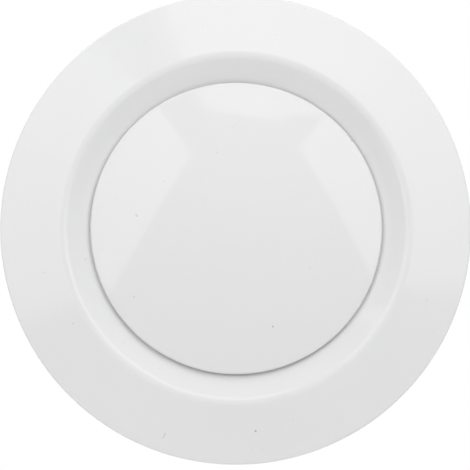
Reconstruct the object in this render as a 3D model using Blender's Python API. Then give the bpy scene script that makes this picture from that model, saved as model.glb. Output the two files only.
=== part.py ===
"""Round disc valve for the end of a ventilation duct, moulded in white plastic.

A dished wall flange leads over a rounded crest into a funnel and a short tube.
Three spokes carry a hub in the tube. A threaded spindle runs through the hub
and carries the domed disc, which opens and closes the funnel as it is turned.
The tube is held by three spring clips in a mounting ring that sits in the duct.

Units are metres, with +Z up. The valve's axis is Y, the room is towards -Y, and
the origin lies on the axis in the plane of the wall. Outlines are written as
(radius, height) pairs, where height is the distance from the wall into the room.
"""

import math

import bmesh
import bpy
from mathutils import Matrix, Vector

# Fits
FIT = 0.0003                   # gap between pieces that touch or seat on each other
BORE_CLEARANCE = 0.0003        # gap around the spindle in every hole it passes
CLOSED_GAP = 0.0003            # left between the disc and the funnel when shut

# Duct and mounting ring
DUCT_RADIUS = 0.0500           # inside of a 100 mm duct
DUCT_CLEARANCE = 0.00075
RING_WALL = 0.0018
RING_LENGTH = 0.0380
RING_FLANGE_THICKNESS = 0.0020
RING_FLANGE_GAP = 0.0006       # between the ring's flange and the rib around it
RING_TIP_CHAMFER = 0.0010
SCREW_COUNT = 3
SCREW_HOLE_RADIUS = 0.0023
SCREW_SINK_RADIUS = 0.0042

# Lip seal on the mounting ring
SEAL_GROOVE_WIDTH = 0.0050
SEAL_GROOVE_DEPTH = 0.0006
SEAL_FROM_TIP = 0.0110         # from the ring's tip to the groove
SEAL_BAND = 0.0008             # thickness of the band under the lips
SEAL_LIP_REACH = 0.0010        # beyond the duct's inside, before it is pushed in
SEAL_LIP_THICKNESS = 0.0006
SEAL_LIP_LEAN = 0.0012         # how far a lip's tip leans towards the room
SEAL_LIPS = 2

# Housing
WALL = 0.0020
CLIP_SPACE = 0.00445           # between the ring's inside and the tube's outside
TUBE_TAIL = 0.0060             # tube behind the spokes
FUNNEL_MARGIN = 0.0082         # from the disc's edge to the crest
FUNNEL_SLOPE = math.radians(30.0)
THROAT_RADIUS = 0.0012         # rounding where the funnel turns into the tube
CREST_ROUNDING = 0.0028
FLANGE_WIDTH = 0.0195          # from the crest to the rim
FLANGE_SLOPE = math.radians(13.0)
RIM_HEIGHT = 0.0030            # front edge of the rim above the wall
RIM_ROUNDING = 0.0007
RIM_WALL = 0.0013
RIB_WALL = 0.0010
RIB_LIFT = 0.0006              # rib's end above the wall
GASKET_WIDTH = 0.0050

# Hub and spokes
SPOKE_COUNT = 3
SPOKE_THICKNESS = 0.0024
SPOKE_FLARE = 0.0016           # extra thickness where a spoke meets hub or tube
SPOKE_FLARE_LENGTH = 0.0030
SPOKE_STEP = 0.0020            # spoke's edge behind the hub's end
HUB_LENGTH = 0.0140
HUB_WALL = 0.0038
HUB_DRAFT = 0.0006             # how much wider the hub is at its back
HUB_GAP = 0.0005               # left in front of the hub when the disc is shut

# Disc
DISC_OVERLAP = 0.0038          # disc's edge beyond the tube's inside
DISC_WALL = 0.0020
DISC_EDGE = 0.0016             # straight side of the disc's edge
DISC_EDGE_ROUNDING = 0.0008
DISC_EDGE_SLOPE = math.radians(12.5)
DISC_LIP_WIDTH = 0.0020
DISC_OPENING = 0.0008          # from the funnel to the disc's edge as it stands
OPEN_TRAVEL = 0.0120           # from there to fully open
BOSS_WALL = 0.0031
BOSS_REACH = 0.0070            # boss behind the disc's edge
BOSS_WEB = 0.0020              # between the blind hole and the disc's wall
DISC_RIB_COUNT = 6
DISC_RIB_THICKNESS = 0.0014
DISC_RIB_REACH = 0.0036        # rib behind the disc's edge, at the boss

# Spindle and its fasteners
SPINDLE_RADIUS = 0.0050
SPINDLE_CHAMFER = 0.0008
SPINDLE_TAIL = 0.0020          # behind the stop clip's groove
WASHER_THICKNESS = 0.0012
WASHER_BAND = 0.0036
DISC_NUT_THICKNESS = 0.0050
DISC_NUT_FLAT = 0.0080         # from the axis to a flat
NUT_CHAMFER = 0.0005
LOCK_NUT_THICKNESS = 0.0060
LOCK_NUT_RADIUS = 0.0108
LOCK_NUT_LOBES = 8
LOCK_NUT_LOBE_HEIGHT = 0.0007
CLIP_GROOVE_DEPTH = 0.0010
STOP_CLIP_THICKNESS = 0.0010
STOP_CLIP_BAND = 0.0028
STOP_CLIP_MOUTH = math.radians(86.0)

# Spring clips and rivets
CLIP_THICKNESS = 0.0005
CLIP_WIDTH = 0.0090
CLIP_BASE = 0.0080             # flat part that the rivet goes through
CLIP_BASE_FROM_END = 0.0025    # from the tube's back edge to the clip
CLIP_RISE = 0.0075             # from the base to the top of the bow
CLIP_FALL = 0.0060             # from the top of the bow to the free end
CLIP_END_LIFT = 0.0010         # free end above the tube
CLIP_BEND = 0.0015
RIVET_RADIUS = 0.0016
RIVET_HEAD_RADIUS = 0.0030
RIVET_HEAD_HEIGHT = 0.0008

# Smoothness of round forms
LARGE_STEPS = 66
SEAL_STEPS = 48
SMALL_STEPS = 30
RIVET_STEPS = 14
NUT_STEPS_PER_SIDE = 6
DOME_POINTS = 8
ARC_STEP = math.radians(9.0)   # of arcs, where the pieces are not too short
ARC_PIECE = 0.0004             # shortest straight piece of an arc
SMOOTH_LIMIT = math.radians(35.0)
MERGE = 1e-7

# Radii that follow from the sizes above
ring_outer = DUCT_RADIUS - DUCT_CLEARANCE
ring_inner = ring_outer - RING_WALL
tube_outer = ring_inner - CLIP_SPACE
tube_inner = tube_outer - WALL
disc_radius = tube_inner + DISC_OVERLAP
crest_radius = disc_radius + FUNNEL_MARGIN
rim_radius = crest_radius + FLANGE_WIDTH
rim_inner = rim_radius - RIM_WALL
gasket_outer = rim_inner - FIT
gasket_inner = gasket_outer - GASKET_WIDTH
rib_outer = gasket_inner - FIT
rib_inner = rib_outer - RIB_WALL
ring_flange_radius = rib_inner - RING_FLANGE_GAP
bore_radius = SPINDLE_RADIUS + BORE_CLEARANCE
hub_radius = bore_radius + HUB_WALL
boss_radius = bore_radius + BOSS_WALL

# Heights above the wall that follow from the sizes above
crest_height = RIM_HEIGHT + FLANGE_WIDTH * math.tan(FLANGE_SLOPE)


def flange_front(radius):
    """Height of the flange's face."""
    return RIM_HEIGHT + (rim_radius - radius) * math.tan(FLANGE_SLOPE)


def flange_back(radius):
    """Height of the flange's underside."""
    return flange_front(radius) - WALL / math.cos(FLANGE_SLOPE)


def funnel_front(radius):
    """Height of the funnel's face."""
    return crest_height - (crest_radius - radius) * math.tan(FUNNEL_SLOPE)


def funnel_back(radius):
    """Height of the funnel's underside."""
    return funnel_front(radius) - WALL / math.cos(FUNNEL_SLOPE)


disc_height = funnel_front(disc_radius) + DISC_OPENING
dome_radius = disc_radius / math.sin(DISC_EDGE_SLOPE)
disc_apex = DISC_EDGE + dome_radius * (1.0 - math.cos(DISC_EDGE_SLOPE))
shut_travel = CLOSED_GAP - DISC_OPENING
stack_depth = BOSS_REACH + WASHER_THICKNESS + DISC_NUT_THICKNESS + 2 * FIT
hub_front = disc_height + shut_travel - stack_depth - HUB_GAP
hub_back = hub_front - HUB_LENGTH
spoke_front = hub_front - SPOKE_STEP
spoke_back = hub_back + SPOKE_STEP
tube_back = spoke_back - TUBE_TAIL
lock_washer_back = hub_back - FIT - WASHER_THICKNESS
lock_nut_back = lock_washer_back - FIT - LOCK_NUT_THICKNESS

# Angles around the axis, counter-clockwise from +X as seen from the room
spoke_angles = [math.pi / 2 + math.tau * n / SPOKE_COUNT for n in range(SPOKE_COUNT)]
clip_angles = [angle + math.pi / SPOKE_COUNT for angle in spoke_angles]


# Outlines

def arc_steps(turn, radius):
    """Number of straight pieces that stand for an arc."""
    by_turn = abs(turn) / ARC_STEP
    by_length = abs(turn) * radius / ARC_PIECE
    return max(1, math.ceil(min(by_turn, by_length)))


def rounded_corner(before, corner, after, radius):
    """Points of the arc that rounds one corner, no longer than its sides allow."""
    to_before = before - corner
    to_after = after - corner
    half = to_before.angle(to_after) / 2
    longest = 0.49 * min(to_before.length, to_after.length)
    setback = min(radius / math.tan(half), longest)
    radius = setback * math.tan(half)
    middle = (to_before.normalized() + to_after.normalized()).normalized()
    centre = corner + middle * (radius / math.sin(half))
    start = corner + to_before.normalized() * setback - centre
    turn = start.angle_signed(corner + to_after.normalized() * setback - centre)
    steps = arc_steps(turn, radius)
    return [centre + Matrix.Rotation(-turn * n / steps, 2) @ start for n in range(steps + 1)]


def rounded(corners, is_open=False):
    """An outline from (radius, height) corners; a third number rounds a corner."""
    points = [Vector(corner[:2]) for corner in corners]
    outline = []
    for n, corner in enumerate(corners):
        is_end = is_open and n in (0, len(corners) - 1)
        if len(corner) == 3 and not is_end:
            after = points[(n + 1) % len(points)]
            outline += rounded_corner(points[n - 1], points[n], after, corner[2])
        else:
            outline.append(points[n])
    return outline


def sheet_outline(path, thickness):
    """Closed outline of bent sheet, whose middle follows an open path."""
    left, right = [], []
    for n, point in enumerate(path):
        before = path[max(n - 1, 0)]
        after = path[min(n + 1, len(path) - 1)]
        along = (after - before).normalized()
        side = Vector((-along.y, along.x)) * thickness / 2
        left.append(point + side)
        right.append(point - side)
    return left + right[::-1]


# Solids

def material(name, colour, roughness, metallic=0.0):
    """A plain surface material."""
    made = bpy.data.materials.new(name)
    made.use_nodes = True
    shader = made.node_tree.nodes["Principled BSDF"]
    shader.inputs["Base Color"].default_value = (*colour, 1.0)
    shader.inputs["Roughness"].default_value = roughness
    shader.inputs["Metallic"].default_value = metallic
    return made


def finish(bm, name, surface, parent=None):
    """Turns a bmesh into an object with smooth round faces and sharp edges."""
    bmesh.ops.remove_doubles(bm, verts=bm.verts, dist=MERGE)
    bmesh.ops.recalc_face_normals(bm, faces=bm.faces)
    mesh = bpy.data.meshes.new(name)
    bm.to_mesh(mesh)
    bm.free()
    mesh.shade_smooth()
    mesh.set_sharp_from_angle(angle=SMOOTH_LIMIT)
    mesh.materials.append(surface)
    made = bpy.data.objects.new(name, mesh)
    made.parent = parent
    bpy.context.collection.objects.link(made)
    return made


def turned(name, outline, surface, steps, sweep=math.tau, parent=None):
    """Turns an outline about the valve's axis, all round or through a sector."""
    bm = bmesh.new()
    first_angle = 0.0 if sweep == math.tau else -sweep / 2
    start = Matrix.Rotation(-first_angle, 4, "Y")
    verts = [bm.verts.new(start @ Vector((p[0], -p[1], 0.0))) for p in outline]
    edges = [bm.edges.new(pair) for pair in zip(verts, verts[1:])]
    if outline[0][0] > 0.0:
        edges.append(bm.edges.new((verts[-1], verts[0])))
    is_full = sweep == math.tau
    bmesh.ops.spin(
        bm, geom=verts + edges, cent=(0, 0, 0), axis=(0, -1, 0), angle=sweep,
        steps=steps, use_merge=is_full,
    )
    if not is_full:
        bmesh.ops.holes_fill(bm, edges=[e for e in bm.edges if e.is_boundary], sides=0)
    return finish(bm, name, surface, parent)


def ring_of_layers(name, layers, inner_radius, surface, steps, parent=None):
    """A ring whose outside follows (outline function, inset, height) layers."""
    bm = bmesh.new()
    loops = []
    first, last = layers[0][2], layers[-1][2]
    rings = [(lambda angle: inner_radius, 0.0, first), *layers]
    rings.append((lambda angle: inner_radius, 0.0, last))
    for radius_at, inset, height in rings:
        loop = []
        for n in range(steps):
            angle = math.tau * n / steps
            reach = radius_at(angle) - inset
            place = (reach * math.cos(angle), -height, reach * math.sin(angle))
            loop.append(bm.verts.new(place))
        loops.append(loop)
    for low, high in zip(loops, loops[1:] + loops[:1]):
        for n in range(steps):
            m = (n + 1) % steps
            bm.faces.new((low[n], low[m], high[m], high[n]))
    return finish(bm, name, surface, parent)


def plate(name, outline, thickness, surface, parent=None):
    """A flat plate in the plane of the axis and +X, centred on that plane."""
    bm = bmesh.new()
    face = bm.faces.new([bm.verts.new((p[0], -p[1], -thickness / 2)) for p in outline])
    grown = bmesh.ops.extrude_face_region(bm, geom=[face])
    top = [item for item in grown["geom"] if isinstance(item, bmesh.types.BMVert)]
    bmesh.ops.translate(bm, verts=top, vec=(0, 0, thickness))
    return finish(bm, name, surface, parent)


def lofted(name, sections, surface):
    """A closed solid through sections that have the same number of points."""
    bm = bmesh.new()
    loops = [[bm.verts.new(point) for point in section] for section in sections]
    for low, high in zip(loops, loops[1:]):
        bmesh.ops.bridge_loops(bm, edges=[*loop_edges(bm, low), *loop_edges(bm, high)])
    bm.faces.new(loops[0])
    bm.faces.new(loops[-1])
    return finish(bm, name, surface)


def loop_edges(bm, loop):
    """The edges around a loop of vertices, made where they are missing."""
    pairs = zip(loop, loop[1:] + loop[:1])
    return [bm.edges.get(pair) or bm.edges.new(pair) for pair in pairs]


def turn_to(made, angle):
    """Turns an object about the valve's axis, from +X to this angle."""
    made.rotation_euler = (0.0, -angle, 0.0)
    return made


def copies(made, angles):
    """The object and its copies, one at each angle, numbered from 1."""
    kind = made.name
    twins = [made]
    for _ in angles[1:]:
        twins.append(made.copy())
        bpy.context.collection.objects.link(twins[-1])
    for n, twin in enumerate(twins):
        twin.name = f"{kind}_{n + 1}"
        turn_to(twin, angles[n])
    return twins


def as_tool(made):
    """Marks an object as a construction shape that isn't part of the valve."""
    made.hide_render = True
    made.display_type = "WIRE"
    return made


def combine(target, tool, operation):
    """Joins a shape to an object, or cuts it out."""
    as_tool(tool)
    change = target.modifiers.new(tool.name, "BOOLEAN")
    change.operation = operation
    change.solver = "EXACT"
    change.object = tool


def radial_cylinder(name, radius, near, far, height, angle, surface):
    """A cylinder along a radius of the valve, between two distances."""
    bm = bmesh.new()
    bmesh.ops.create_cone(
        bm, cap_ends=True, segments=RIVET_STEPS, radius1=radius, radius2=radius,
        depth=far - near,
    )
    bmesh.ops.rotate(bm, verts=bm.verts, matrix=Matrix.Rotation(math.pi / 2, 3, "Y"))
    bmesh.ops.translate(bm, verts=bm.verts, vec=((near + far) / 2, -height, 0.0))
    return turn_to(finish(bm, name, surface), angle)


# Housing

def housing_outline():
    """Section of the flange, crest, funnel and tube, with the ribs behind."""
    flange_wall = WALL / math.cos(FLANGE_SLOPE)
    funnel_wall = WALL / math.cos(FUNNEL_SLOPE)
    slopes = math.tan(FLANGE_SLOPE) + math.tan(FUNNEL_SLOPE)
    crest_back = crest_radius + (funnel_wall - flange_wall) / slopes
    return rounded([
        (rim_radius, FIT),
        (rim_radius, RIM_HEIGHT, RIM_ROUNDING),
        (crest_radius, crest_height, CREST_ROUNDING),
        (tube_inner, funnel_front(tube_inner), THROAT_RADIUS),
        (tube_inner, tube_back),
        (tube_outer, tube_back, RIM_ROUNDING),
        (tube_outer, funnel_back(tube_outer)),
        (crest_back, flange_back(crest_back)),
        (rib_inner, flange_back(rib_inner)),
        (rib_inner, RIB_LIFT),
        (rib_outer, RIB_LIFT),
        (rib_outer, flange_back(rib_outer)),
        (rim_inner, flange_back(rim_inner)),
        (rim_inner, FIT),
    ])


def spoke_section(radius, thickness):
    """Section of a spoke: round towards the room, slim towards the duct."""
    half = thickness / 2
    nose = spoke_front - half
    return [
        Vector((radius, -height, side))
        for side, height in (
            (0.0, spoke_front),
            (0.7 * half, nose + 0.7 * half),
            (half, nose),
            (0.6 * half, spoke_back),
            (-0.6 * half, spoke_back),
            (-half, nose),
            (-0.7 * half, nose + 0.7 * half),
        )
    ]


def make_spoke(angle, surface):
    """One spoke, thicker at both ends where it grows out of hub and tube."""
    wide = SPOKE_THICKNESS + SPOKE_FLARE
    hub_side = hub_radius - HUB_WALL / 2
    tube_side = tube_inner + WALL / 2
    stations = [
        (hub_side, wide),
        (hub_radius + HUB_DRAFT, wide),
        (hub_radius + HUB_DRAFT + SPOKE_FLARE_LENGTH, SPOKE_THICKNESS),
        (tube_inner - SPOKE_FLARE_LENGTH, SPOKE_THICKNESS),
        (tube_inner, wide),
        (tube_side, wide),
    ]
    sections = [spoke_section(radius, thickness) for radius, thickness in stations]
    return turn_to(lofted("spoke_shape", sections, surface), angle)


def make_housing(surface):
    """Flange, funnel, tube, spokes and hub, moulded in one piece."""
    housing = turned("housing", housing_outline(), surface, LARGE_STEPS)
    hub_outline = rounded([
        (bore_radius, hub_front),
        (hub_radius, hub_front, RIM_ROUNDING),
        (hub_radius + HUB_DRAFT, hub_back, RIM_ROUNDING),
        (bore_radius, hub_back),
    ])
    hub = turned("hub_shape", hub_outline, surface, SMALL_STEPS)
    for angle in spoke_angles:
        combine(hub, make_spoke(angle, surface), "UNION")
    combine(housing, hub, "UNION")
    for angle in clip_angles:
        hole = radial_cylinder(
            "rivet_hole", RIVET_RADIUS + FIT, tube_inner - WALL, tube_outer + WALL,
            rivet_height, angle, surface,
        )
        combine(housing, hole, "DIFFERENCE")
    return housing


def make_flange_gasket(surface):
    """Foam ring between the rim and the rib, which seals against the wall."""
    outline = [
        Vector((gasket_inner, 0.0)),
        Vector((gasket_outer, 0.0)),
        Vector((gasket_outer, flange_back(gasket_outer) - FIT)),
        Vector((gasket_inner, flange_back(gasket_inner) - FIT)),
    ]
    return turned("flange_gasket", outline, surface, LARGE_STEPS)


# Mounting ring and its seal

def ring_outline():
    """Section of the ring: flange on the wall, collar in the duct, seal groove."""
    under_funnel = funnel_back(ring_inner) - FIT
    entry_height = min(under_funnel, RING_FLANGE_THICKNESS - RIM_ROUNDING)
    entry_run = (RING_FLANGE_THICKNESS - entry_height) / math.tan(FUNNEL_SLOPE)
    tip = -RING_LENGTH
    groove_back = tip + SEAL_FROM_TIP
    groove_front = groove_back + SEAL_GROOVE_WIDTH
    groove_radius = ring_outer - SEAL_GROOVE_DEPTH
    return rounded([
        (ring_flange_radius, 0.0),
        (ring_flange_radius, RING_FLANGE_THICKNESS, RIM_ROUNDING),
        (ring_inner + entry_run, RING_FLANGE_THICKNESS),
        (ring_inner, entry_height),
        (ring_inner, tip),
        (ring_outer - RING_WALL / 2, tip),
        (ring_outer, tip + RING_TIP_CHAMFER),
        (ring_outer, groove_back),
        (groove_radius, groove_back),
        (groove_radius, groove_front),
        (ring_outer, groove_front),
        (ring_outer, 0.0),
    ])


def make_mounting_ring(surface):
    """Ring that is screwed to the wall, with countersunk holes in its flange."""
    ring = turned("mounting_ring", ring_outline(), surface, LARGE_STEPS)
    circle = (ring_outer + ring_flange_radius) / 2
    sink_depth = SCREW_SINK_RADIUS - SCREW_HOLE_RADIUS
    screw_outline = [
        Vector((0.0, 2 * RING_FLANGE_THICKNESS)),
        Vector((SCREW_SINK_RADIUS, 2 * RING_FLANGE_THICKNESS)),
        Vector((SCREW_SINK_RADIUS, RING_FLANGE_THICKNESS)),
        Vector((SCREW_HOLE_RADIUS, RING_FLANGE_THICKNESS - sink_depth)),
        Vector((SCREW_HOLE_RADIUS, -RING_FLANGE_THICKNESS)),
        Vector((0.0, -RING_FLANGE_THICKNESS)),
    ]
    for n in range(SCREW_COUNT):
        angle = spoke_angles[0] + math.tau * n / SCREW_COUNT
        hole = turned("screw_hole", screw_outline, surface, RIVET_STEPS)
        hole.location = (circle * math.cos(angle), 0.0, circle * math.sin(angle))
        combine(ring, hole, "DIFFERENCE")
    return ring


def make_lip_seal(surface):
    """Rubber band in the ring's groove, with lips that press on the duct."""
    bottom = ring_outer - SEAL_GROOVE_DEPTH + FIT
    top = bottom + SEAL_BAND
    tip_radius = DUCT_RADIUS + SEAL_LIP_REACH
    low = SEAL_FROM_TIP - RING_LENGTH + FIT
    high = low + SEAL_GROOVE_WIDTH - 2 * FIT
    pitch = (high - low) / SEAL_LIPS
    corners = [(bottom, high), (bottom, low), (top, low)]
    for n in range(SEAL_LIPS):
        root = low + pitch * n + SEAL_LIP_THICKNESS / 2
        corners += [
            (top, root),
            (tip_radius, root + SEAL_LIP_LEAN),
            (tip_radius, root + SEAL_LIP_LEAN + SEAL_LIP_THICKNESS / 2),
            (top, root + SEAL_LIP_THICKNESS),
        ]
    corners.append((top, high))
    return turned("ring_lip_seal", rounded(corners), surface, SEAL_STEPS)


# Spring clips and rivets

clip_back = tube_back + CLIP_BASE_FROM_END
rivet_height = clip_back + CLIP_BASE / 2


def make_clips(surface):
    """Three bowed strips of spring steel on the tube."""
    seat = tube_outer + FIT + CLIP_THICKNESS / 2
    bow = ring_inner - FIT - CLIP_THICKNESS / 2
    base_front = clip_back + CLIP_BASE
    path = rounded([
        (seat, clip_back),
        (seat, base_front, CLIP_BEND),
        (bow, base_front + CLIP_RISE, CLIP_BEND),
        (seat + CLIP_END_LIFT, base_front + CLIP_RISE + CLIP_FALL),
    ], is_open=True)
    outline = sheet_outline(path, CLIP_THICKNESS)
    width_angle = CLIP_WIDTH / tube_outer
    clip = turned("spring_clip", outline, surface, 4, width_angle)
    for twin, angle in zip(copies(clip, clip_angles), clip_angles):
        hole = radial_cylinder(
            "clip_hole", RIVET_RADIUS + FIT, seat - WALL, seat + WALL,
            rivet_height, angle, surface,
        )
        combine(twin, hole, "DIFFERENCE")


def make_rivets(surface):
    """Rivets that hold the clips: a round head outside, an upset end inside."""
    inside = tube_inner - FIT
    outside = tube_outer + 2 * FIT + CLIP_THICKNESS
    outline = rounded([
        (0.0, outside + RIVET_HEAD_HEIGHT),
        (RIVET_HEAD_RADIUS, outside + RIVET_HEAD_HEIGHT, RIVET_HEAD_HEIGHT),
        (RIVET_HEAD_RADIUS, outside),
        (RIVET_RADIUS, outside),
        (RIVET_RADIUS, inside),
        (RIVET_HEAD_RADIUS - RIVET_HEAD_HEIGHT, inside),
        (RIVET_RADIUS, inside - RIVET_HEAD_HEIGHT),
        (0.0, inside - RIVET_HEAD_HEIGHT),
    ], is_open=True)
    rivet = turned("clip_rivet", outline, surface, RIVET_STEPS)
    lay_along_x = Matrix.Rotation(math.pi / 2, 4, "Z")
    rivet.data.transform(Matrix.Translation((0.0, -rivet_height, 0.0)) @ lay_along_x)
    copies(rivet, clip_angles)


# Disc with its boss and ribs, in heights from the back edge of its side

def dome(radius, inset=0.0):
    """Height of the disc's domed face, or of a surface at an inset below it."""
    sphere = dome_radius - inset
    return disc_apex - dome_radius + math.sqrt(sphere ** 2 - radius ** 2)


def make_boss(surface, parent):
    """Boss with a blind hole for the spindle, and the ribs that grow out of it."""
    hole_end = disc_apex - DISC_WALL - BOSS_WEB
    top = disc_apex - DISC_WALL / 2
    boss = turned("boss_shape", rounded([
        (0.0, top),
        (boss_radius, top),
        (boss_radius, -BOSS_REACH, SPINDLE_CHAMFER),
        (bore_radius, -BOSS_REACH),
        (bore_radius, hole_end),
        (0.0, hole_end),
    ], is_open=True), surface, SMALL_STEPS, parent=parent)
    inner = boss_radius - BOSS_WALL / 2
    outer = disc_radius - DISC_LIP_WIDTH / 2
    under_dome = [(r, dome(r, DISC_WALL / 2)) for r in spread(inner, outer, DOME_POINTS)]
    outline = rounded([
        *under_dome,
        (outer, 0.0),
        (disc_radius - DISC_LIP_WIDTH, 0.0),
        (boss_radius, -DISC_RIB_REACH),
        (inner, -DISC_RIB_REACH),
    ])
    for n in range(DISC_RIB_COUNT):
        rib = plate("disc_rib_shape", outline, DISC_RIB_THICKNESS, surface, parent)
        turn_to(rib, spoke_angles[0] + math.tau * n / DISC_RIB_COUNT)
        combine(boss, rib, "UNION")
    return boss


def make_disc(surface, parent):
    """Domed disc with a sloping lip that seats in the funnel."""
    lip_inner = disc_radius - DISC_LIP_WIDTH
    front = [(radius, dome(radius)) for radius in spread(0.0, disc_radius, DOME_POINTS)]
    back = [(radius, dome(radius, DISC_WALL)) for radius in spread(lip_inner, 0.0, 6)]
    front[-1] = (*front[-1], DISC_EDGE_ROUNDING)
    outline = rounded([
        *front,
        (disc_radius, 0.0),
        (lip_inner, -DISC_LIP_WIDTH * math.tan(FUNNEL_SLOPE)),
        *back,
    ], is_open=True)
    disc = turned("disc", outline, surface, LARGE_STEPS, parent=parent)
    combine(disc, make_boss(surface, parent), "UNION")
    return disc


def spread(start, end, count):
    """Evenly spaced numbers from start to end."""
    return [start + (end - start) * n / (count - 1) for n in range(count)]


# Spindle and fasteners

def make_spindle(surface, parent):
    """Spindle from the disc's blind hole back through the hub, with a clip groove."""
    front = disc_apex - DISC_WALL - BOSS_WEB - FIT
    groove_front = stop_clip_front - disc_height + FIT
    groove_back = groove_front - STOP_CLIP_THICKNESS - 2 * FIT
    groove_radius = SPINDLE_RADIUS - CLIP_GROOVE_DEPTH
    end = groove_back - SPINDLE_TAIL
    outline = rounded([
        (0.0, front),
        (SPINDLE_RADIUS - SPINDLE_CHAMFER, front),
        (SPINDLE_RADIUS, front - SPINDLE_CHAMFER),
        (SPINDLE_RADIUS, groove_front),
        (groove_radius, groove_front),
        (groove_radius, groove_back),
        (SPINDLE_RADIUS, groove_back),
        (SPINDLE_RADIUS, end + SPINDLE_CHAMFER),
        (SPINDLE_RADIUS - SPINDLE_CHAMFER, end),
        (0.0, end),
    ], is_open=True)
    return turned("spindle", outline, surface, SMALL_STEPS, parent=parent)


def make_washer(name, back, surface, parent=None):
    """A flat washer around the spindle."""
    outer = bore_radius + WASHER_BAND
    outline = rounded([
        (bore_radius, back),
        (bore_radius, back + WASHER_THICKNESS),
        (outer, back + WASHER_THICKNESS),
        (outer, back),
    ])
    return turned(name, outline, surface, SMALL_STEPS, parent=parent)


def make_disc_nut(surface, parent):
    """Hexagon nut that holds the disc on the spindle."""
    def hexagon(angle):
        return DISC_NUT_FLAT / math.cos(angle % (math.tau / 6) - math.tau / 12)

    front = -BOSS_REACH - 2 * FIT - WASHER_THICKNESS
    back = front - DISC_NUT_THICKNESS
    layers = [
        (hexagon, NUT_CHAMFER, back),
        (hexagon, 0.0, back + NUT_CHAMFER),
        (hexagon, 0.0, front - NUT_CHAMFER),
        (hexagon, NUT_CHAMFER, front),
    ]
    steps = 6 * NUT_STEPS_PER_SIDE
    return ring_of_layers("disc_nut", layers, bore_radius, surface, steps, parent)


def make_lock_nut(surface):
    """Round nut with finger lobes, which locks the spindle behind the hub."""
    def lobes(angle):
        return LOCK_NUT_RADIUS + LOCK_NUT_LOBE_HEIGHT * math.cos(LOCK_NUT_LOBES * angle)

    front = lock_nut_back + LOCK_NUT_THICKNESS
    layers = [
        (lobes, NUT_CHAMFER, lock_nut_back),
        (lobes, 0.0, lock_nut_back + NUT_CHAMFER),
        (lobes, 0.0, front - NUT_CHAMFER),
        (lobes, NUT_CHAMFER, front),
    ]
    steps = LOCK_NUT_LOBES * NUT_STEPS_PER_SIDE
    return ring_of_layers("lock_nut", layers, bore_radius, surface, steps)


stop_clip_front = lock_nut_back - FIT - OPEN_TRAVEL


def make_stop_clip(surface, parent):
    """Open clip in the spindle's groove, which ends the disc's travel."""
    front = stop_clip_front - disc_height
    inner = SPINDLE_RADIUS - CLIP_GROOVE_DEPTH + FIT
    outline = [
        Vector((inner, front)),
        Vector((inner + STOP_CLIP_BAND, front)),
        Vector((inner + STOP_CLIP_BAND, front - STOP_CLIP_THICKNESS)),
        Vector((inner, front - STOP_CLIP_THICKNESS)),
    ]
    sweep = math.tau - STOP_CLIP_MOUTH
    return turned("stop_clip", outline, surface, SMALL_STEPS, sweep, parent)


def clear_scene():
    """Removes whatever the scene holds."""
    for old in list(bpy.data.objects):
        bpy.data.objects.remove(old, do_unlink=True)


def main():
    clear_scene()
    make_housing(material("housing_plastic", (0.86, 0.86, 0.86), 0.25))
    make_flange_gasket(material("gasket_foam", (0.75, 0.75, 0.74), 0.95))
    make_mounting_ring(material("ring_plastic", (0.84, 0.84, 0.84), 0.35))
    make_lip_seal(material("seal_rubber", (0.03, 0.03, 0.03), 0.7))
    make_clips(material("clip_steel", (0.62, 0.62, 0.63), 0.3, 1.0))
    make_rivets(material("rivet_aluminium", (0.75, 0.75, 0.76), 0.35, 1.0))
    make_washer("lock_washer", lock_washer_back, material("washer_nylon", (0.8, 0.8, 0.78), 0.4))
    make_lock_nut(material("lock_nut_plastic", (0.82, 0.82, 0.82), 0.4))

    disc_axis = bpy.data.objects.new("disc_axis", None)
    disc_axis.location = (0.0, -disc_height, 0.0)
    bpy.context.collection.objects.link(disc_axis)
    make_disc(material("disc_plastic", (0.86, 0.86, 0.86), 0.22), disc_axis)
    make_spindle(material("spindle_plastic", (0.82, 0.82, 0.82), 0.4), disc_axis)
    disc_washer_back = -BOSS_REACH - FIT - WASHER_THICKNESS
    make_washer("disc_washer", disc_washer_back,
                material("disc_washer_nylon", (0.8, 0.8, 0.78), 0.4), disc_axis)
    make_disc_nut(material("disc_nut_plastic", (0.82, 0.82, 0.82), 0.4), disc_axis)
    make_stop_clip(material("stop_clip_steel", (0.5, 0.5, 0.52), 0.35, 1.0), disc_axis)


main()
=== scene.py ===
import math

import bmesh
import bpy
from mathutils import Matrix, Vector


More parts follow.
